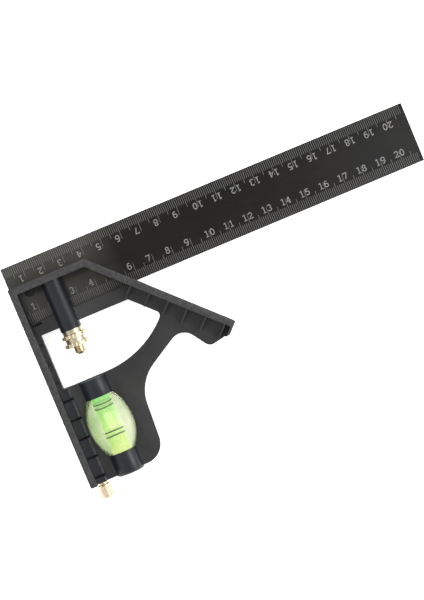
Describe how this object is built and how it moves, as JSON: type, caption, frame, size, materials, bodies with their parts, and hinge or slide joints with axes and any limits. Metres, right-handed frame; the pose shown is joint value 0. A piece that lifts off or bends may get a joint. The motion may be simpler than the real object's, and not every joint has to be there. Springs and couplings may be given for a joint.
{
  "type": "combination square",
  "caption": "Combination square: ruled steel blade sliding in a ribbed plastic head with 90 and 45 degree faces, brass clamp nut, level vial and scriber.",
  "frame": {"origin": "Under the middle of the whole part's box, on the plane of the head's back faces, as the tool lies on a bench.", "axes": "+X along the blade towards its 20 cm end, +Y up the 90 degree reference face towards the blade's upper edge, +Z out of the head's front face."},
  "size_m": [0.21, 0.1216, 0.022],
  "materials": {
    "head_plastic": "moulded, fine satin",
    "blade_steel": "black baked finish, satin, light graduations",
    "bolt_brass": "turned, bright",
    "spring_steel": "drawn wire",
    "nut_brass": "turned and fluted, bright",
    "vial_acrylic": "clear, polished",
    "vial_liquid": "clear liquid",
    "vial_lines": "printed",
    "vial_plug": "clear",
    "retainer_plastic": "moulded",
    "knob_brass": "turned and fluted",
    "needle_steel": "hardened, ground"
  },
  "bodies": {
    "head": {"head": "head_plastic", "clamp_spring": "spring_steel", "vial_body": "vial_acrylic", "vial_liquid": "vial_liquid", "vial_lines": "vial_lines", "vial_plug": "vial_plug", "vial_retainer": "retainer_plastic"},
    "blade": {"blade": "blade_steel"},
    "bolt": {"clamp_bolt": "bolt_brass"},
    "nut": {"clamp_nut": "nut_brass"},
    "scriber": {"scriber_knob": "knob_brass", "scriber_needle": "needle_steel"}
  },
  "joints": [
    {"name": "blade_slide", "type": "slide", "parent": "head", "child": "blade", "axis": [1, 0, 0], "range_m": [-0.18, 0.012]},
    {"name": "nut_turn", "type": "hinge", "parent": "head", "child": "nut", "pos_m": [-0.0845, 0.02085, 0.011], "axis": [0, -1, 0], "range_deg": [0, 540]},
    {"name": "bolt_slide", "type": "slide", "parent": "head", "child": "bolt", "axis": [0, 1, 0], "range_m": [0, 0.00125]},
    {"name": "scriber_pull", "type": "slide", "parent": "head", "child": "scriber", "axis": [0, -1, 0], "range_m": [0, 0.044]}
  ],
  "couplings": [
    {"joint": "bolt_slide", "follows": "nut_turn", "m_per_rad": 0.00012732}
  ]
}
